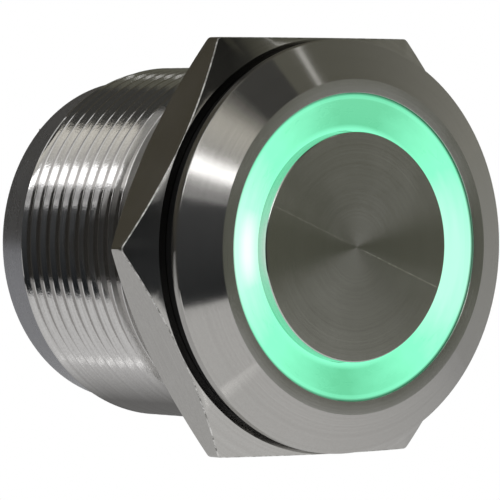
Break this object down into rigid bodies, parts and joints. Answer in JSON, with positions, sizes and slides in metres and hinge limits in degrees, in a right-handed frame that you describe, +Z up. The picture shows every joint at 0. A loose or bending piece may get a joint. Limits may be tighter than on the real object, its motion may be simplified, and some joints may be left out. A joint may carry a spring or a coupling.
{
  "type": "anti-vandal push button",
  "caption": "Illuminated turned-steel push button with a flat cap, a lit ring, a threaded barrel with gasket and thin hex nut, and solder terminals behind.",
  "frame": {"origin": "on the button's axis, in the plane where the bezel's rear face meets its gasket", "axes": "+Y along the axis from the pressed face towards the terminals, +Z up, +X to the right of someone who faces the button"},
  "size_m": [0.029, 0.0288, 0.0252],
  "materials": {
    "stainless": "turned, fine concentric lay",
    "nut_metal": "turned and milled, plated",
    "spring_steel": "bright drawn",
    "lens": "translucent, lit green",
    "lamp": "clear resin over the chip",
    "board": "solder mask",
    "chip": "matt ceramic",
    "white_moulding": "moulded",
    "black_moulding": "moulded, fine texture",
    "resin": "cast, glossy",
    "seal_rubber": "moulded",
    "gasket_rubber": "matt",
    "brass": "rolled",
    "tinned_brass": "tinned, satin",
    "silver": "silver alloy"
  },
  "bodies": {
    "housing": {"housing": "stainless", "lens_ring": "lens", "lens_seal": "seal_rubber", "stem_seal": "seal_rubber", "return_spring": "spring_steel", "guide_body": "black_moulding", "lamp_board": "board", "leds": "lamp", "lamp_resistor": "chip", "lamp_pin_plus": "tinned_brass", "lamp_pin_minus": "tinned_brass", "common_terminal": "tinned_brass", "closed_terminal": "tinned_brass", "open_terminal": "tinned_brass", "fixed_contacts": "silver", "switch_base": "black_moulding", "retaining_ring": "spring_steel", "potting": "resin", "panel_gasket": "gasket_rubber"},
    "button": {"button_cap": "stainless", "actuator_stem": "white_moulding", "stem_clip": "spring_steel", "contact_carrier": "white_moulding", "contact_bridge": "brass", "moving_contacts": "silver", "contact_spring": "spring_steel"},
    "nut": {"hex_nut": "nut_metal"}
  },
  "joints": [
    {"name": "button_press", "type": "slide", "parent": "housing", "child": "button", "axis": [0, 1, 0], "range_m": [0, 0.0016], "stiffness_N_per_m": 1500, "springref_m": -0.0013, "deforming": ["return_spring"]},
    {"name": "nut_run", "type": "slide", "parent": "housing", "child": "nut", "axis": [0, 1, 0], "range_m": [0, 0.013]}
  ]
}
